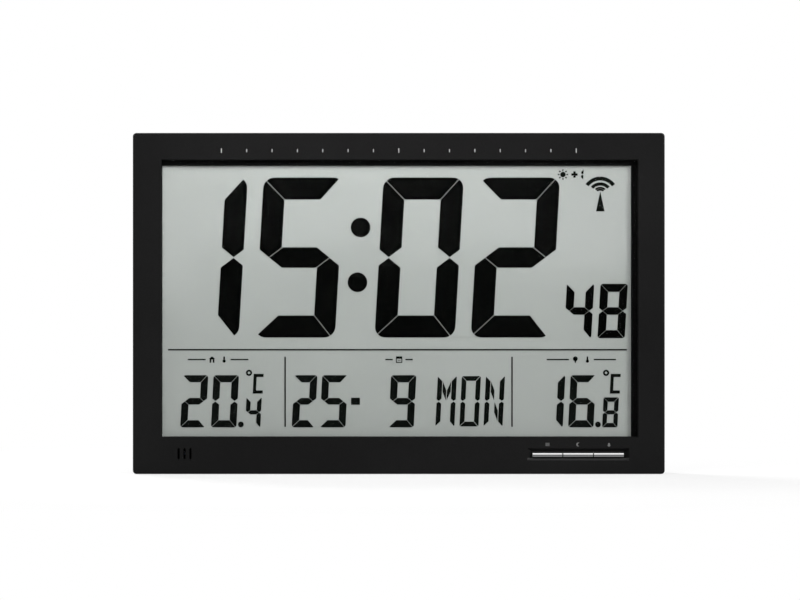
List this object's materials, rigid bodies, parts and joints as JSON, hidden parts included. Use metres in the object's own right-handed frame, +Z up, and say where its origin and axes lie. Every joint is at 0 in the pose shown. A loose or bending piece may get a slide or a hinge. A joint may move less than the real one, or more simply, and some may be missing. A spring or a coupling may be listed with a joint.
{
  "type": "radio-controlled clock",
  "caption": "Flat black radio-controlled clock with a large segment display, chromed keys below it, a folding stand and keyholes for a wall.",
  "frame": {"origin": "middle of the underside of the case", "axes": "+X to the right seen from the front, +Y from the front face to the rear, +Z up"},
  "size_m": [0.368, 0.03, 0.236],
  "materials": {
    "bezel_plastic": "fine satin grain",
    "cover_plastic": "fine spark-eroded grain",
    "clear_window": "clear, polished",
    "gasket_foam": "matt black foam",
    "lcd_glass": "clear with polariser",
    "lcd_ink": "dark liquid crystal",
    "lcd_field": "grey-green reflective polariser",
    "lcd_seal": "epoxy line",
    "reflector_foil": "satin foil",
    "frame_plastic": "moulded white",
    "elastomer": "matt rubber",
    "board": "green solder mask",
    "black_parts": "moulded black",
    "capacitor_sleeve": "shrink sleeve",
    "steel": "zinc plated",
    "key_chrome": "mirror",
    "ferrite": "sintered",
    "copper": "enamelled",
    "sensor_bead": "epoxy bead",
    "ribbon": "grey flat cable",
    "lead_red": "insulation",
    "lead_black": "insulation",
    "cell_jacket": "printed sleeve, unmarked"
  },
  "bodies": {
    "case": {"front_bezel": "bezel_plastic", "rear_cover": "cover_plastic", "display_window": "clear_window", "display_gasket": "gasket_foam", "lcd_front_glass": "lcd_glass", "lcd_time_segments": "lcd_ink", "lcd_data_segments": "lcd_ink", "lcd_icon_segments": "lcd_ink", "lcd_rear_glass": "lcd_field", "lcd_edge_seal": "lcd_seal", "lcd_reflector": "reflector_foil", "lcd_frame": "frame_plastic", "antenna_holders": "frame_plastic", "zebra_strip": "elastomer", "main_pcb": "board", "time_receiver_pcb": "board", "sensor_receiver_pcb": "board", "key_pcb": "board", "thermistor_pcb": "board", "driver_chips": "black_parts", "receiver_chip": "black_parts", "reset_switch": "black_parts", "key_switch_bodies": "black_parts", "buzzer_case": "black_parts", "capacitors": "capacitor_sleeve", "case_screws": "steel", "lcd_frame_screws": "steel", "main_pcb_screws": "steel", "key_pcb_screws": "steel", "stand_hinge_pin": "steel", "contact_plates": "steel", "contact_springs": "steel", "quartz_crystals": "steel", "sensor_receiver_can": "steel", "ferrite_rod": "ferrite", "antenna_coil": "copper", "helical_antenna": "copper", "piezo_disc": "copper", "thermistor": "sensor_bead", "ribbon_cable": "ribbon", "battery_lead_red": "lead_red", "battery_lead_black": "lead_black", "sensor_lead": "lead_black", "battery_cells": "cell_jacket"},
    "mode_key": {"mode_button": "key_chrome", "mode_plunger": "black_parts"},
    "snooze_key": {"snooze_button": "key_chrome", "snooze_plunger": "black_parts"},
    "alarm_key": {"alarm_button": "key_chrome", "alarm_plunger": "black_parts"},
    "stand": {"stand_leg": "cover_plastic", "stand_foot_pads": "elastomer"},
    "door": {"battery_door": "cover_plastic", "door_foam": "gasket_foam"},
    "reset_key": {"reset_button": "black_parts"}
  },
  "joints": [
    {"name": "mode_press", "type": "slide", "parent": "case", "child": "mode_key", "axis": [0, 1, 0], "range_m": [0, 0.0008], "stiffness_N_per_m": 1500},
    {"name": "snooze_press", "type": "slide", "parent": "case", "child": "snooze_key", "axis": [0, 1, 0], "range_m": [0, 0.0008], "stiffness_N_per_m": 1500},
    {"name": "alarm_press", "type": "slide", "parent": "case", "child": "alarm_key", "axis": [0, 1, 0], "range_m": [0, 0.0008], "stiffness_N_per_m": 1500},
    {"name": "stand_fold", "type": "hinge", "parent": "case", "child": "stand", "pos_m": [0, 0.0123, 0.112], "axis": [1, 0, 0], "range_deg": [0, 25]},
    {"name": "door_swing", "type": "hinge", "parent": "case", "child": "door", "pos_m": [-0.12115, 0.0137, 0.1003], "axis": [1, 0, 0], "range_deg": [0, 85]},
    {"name": "reset_press", "type": "slide", "parent": "case", "child": "reset_key", "axis": [0, -1, 0], "range_m": [0, 0.0008], "stiffness_N_per_m": 800}
  ]
}
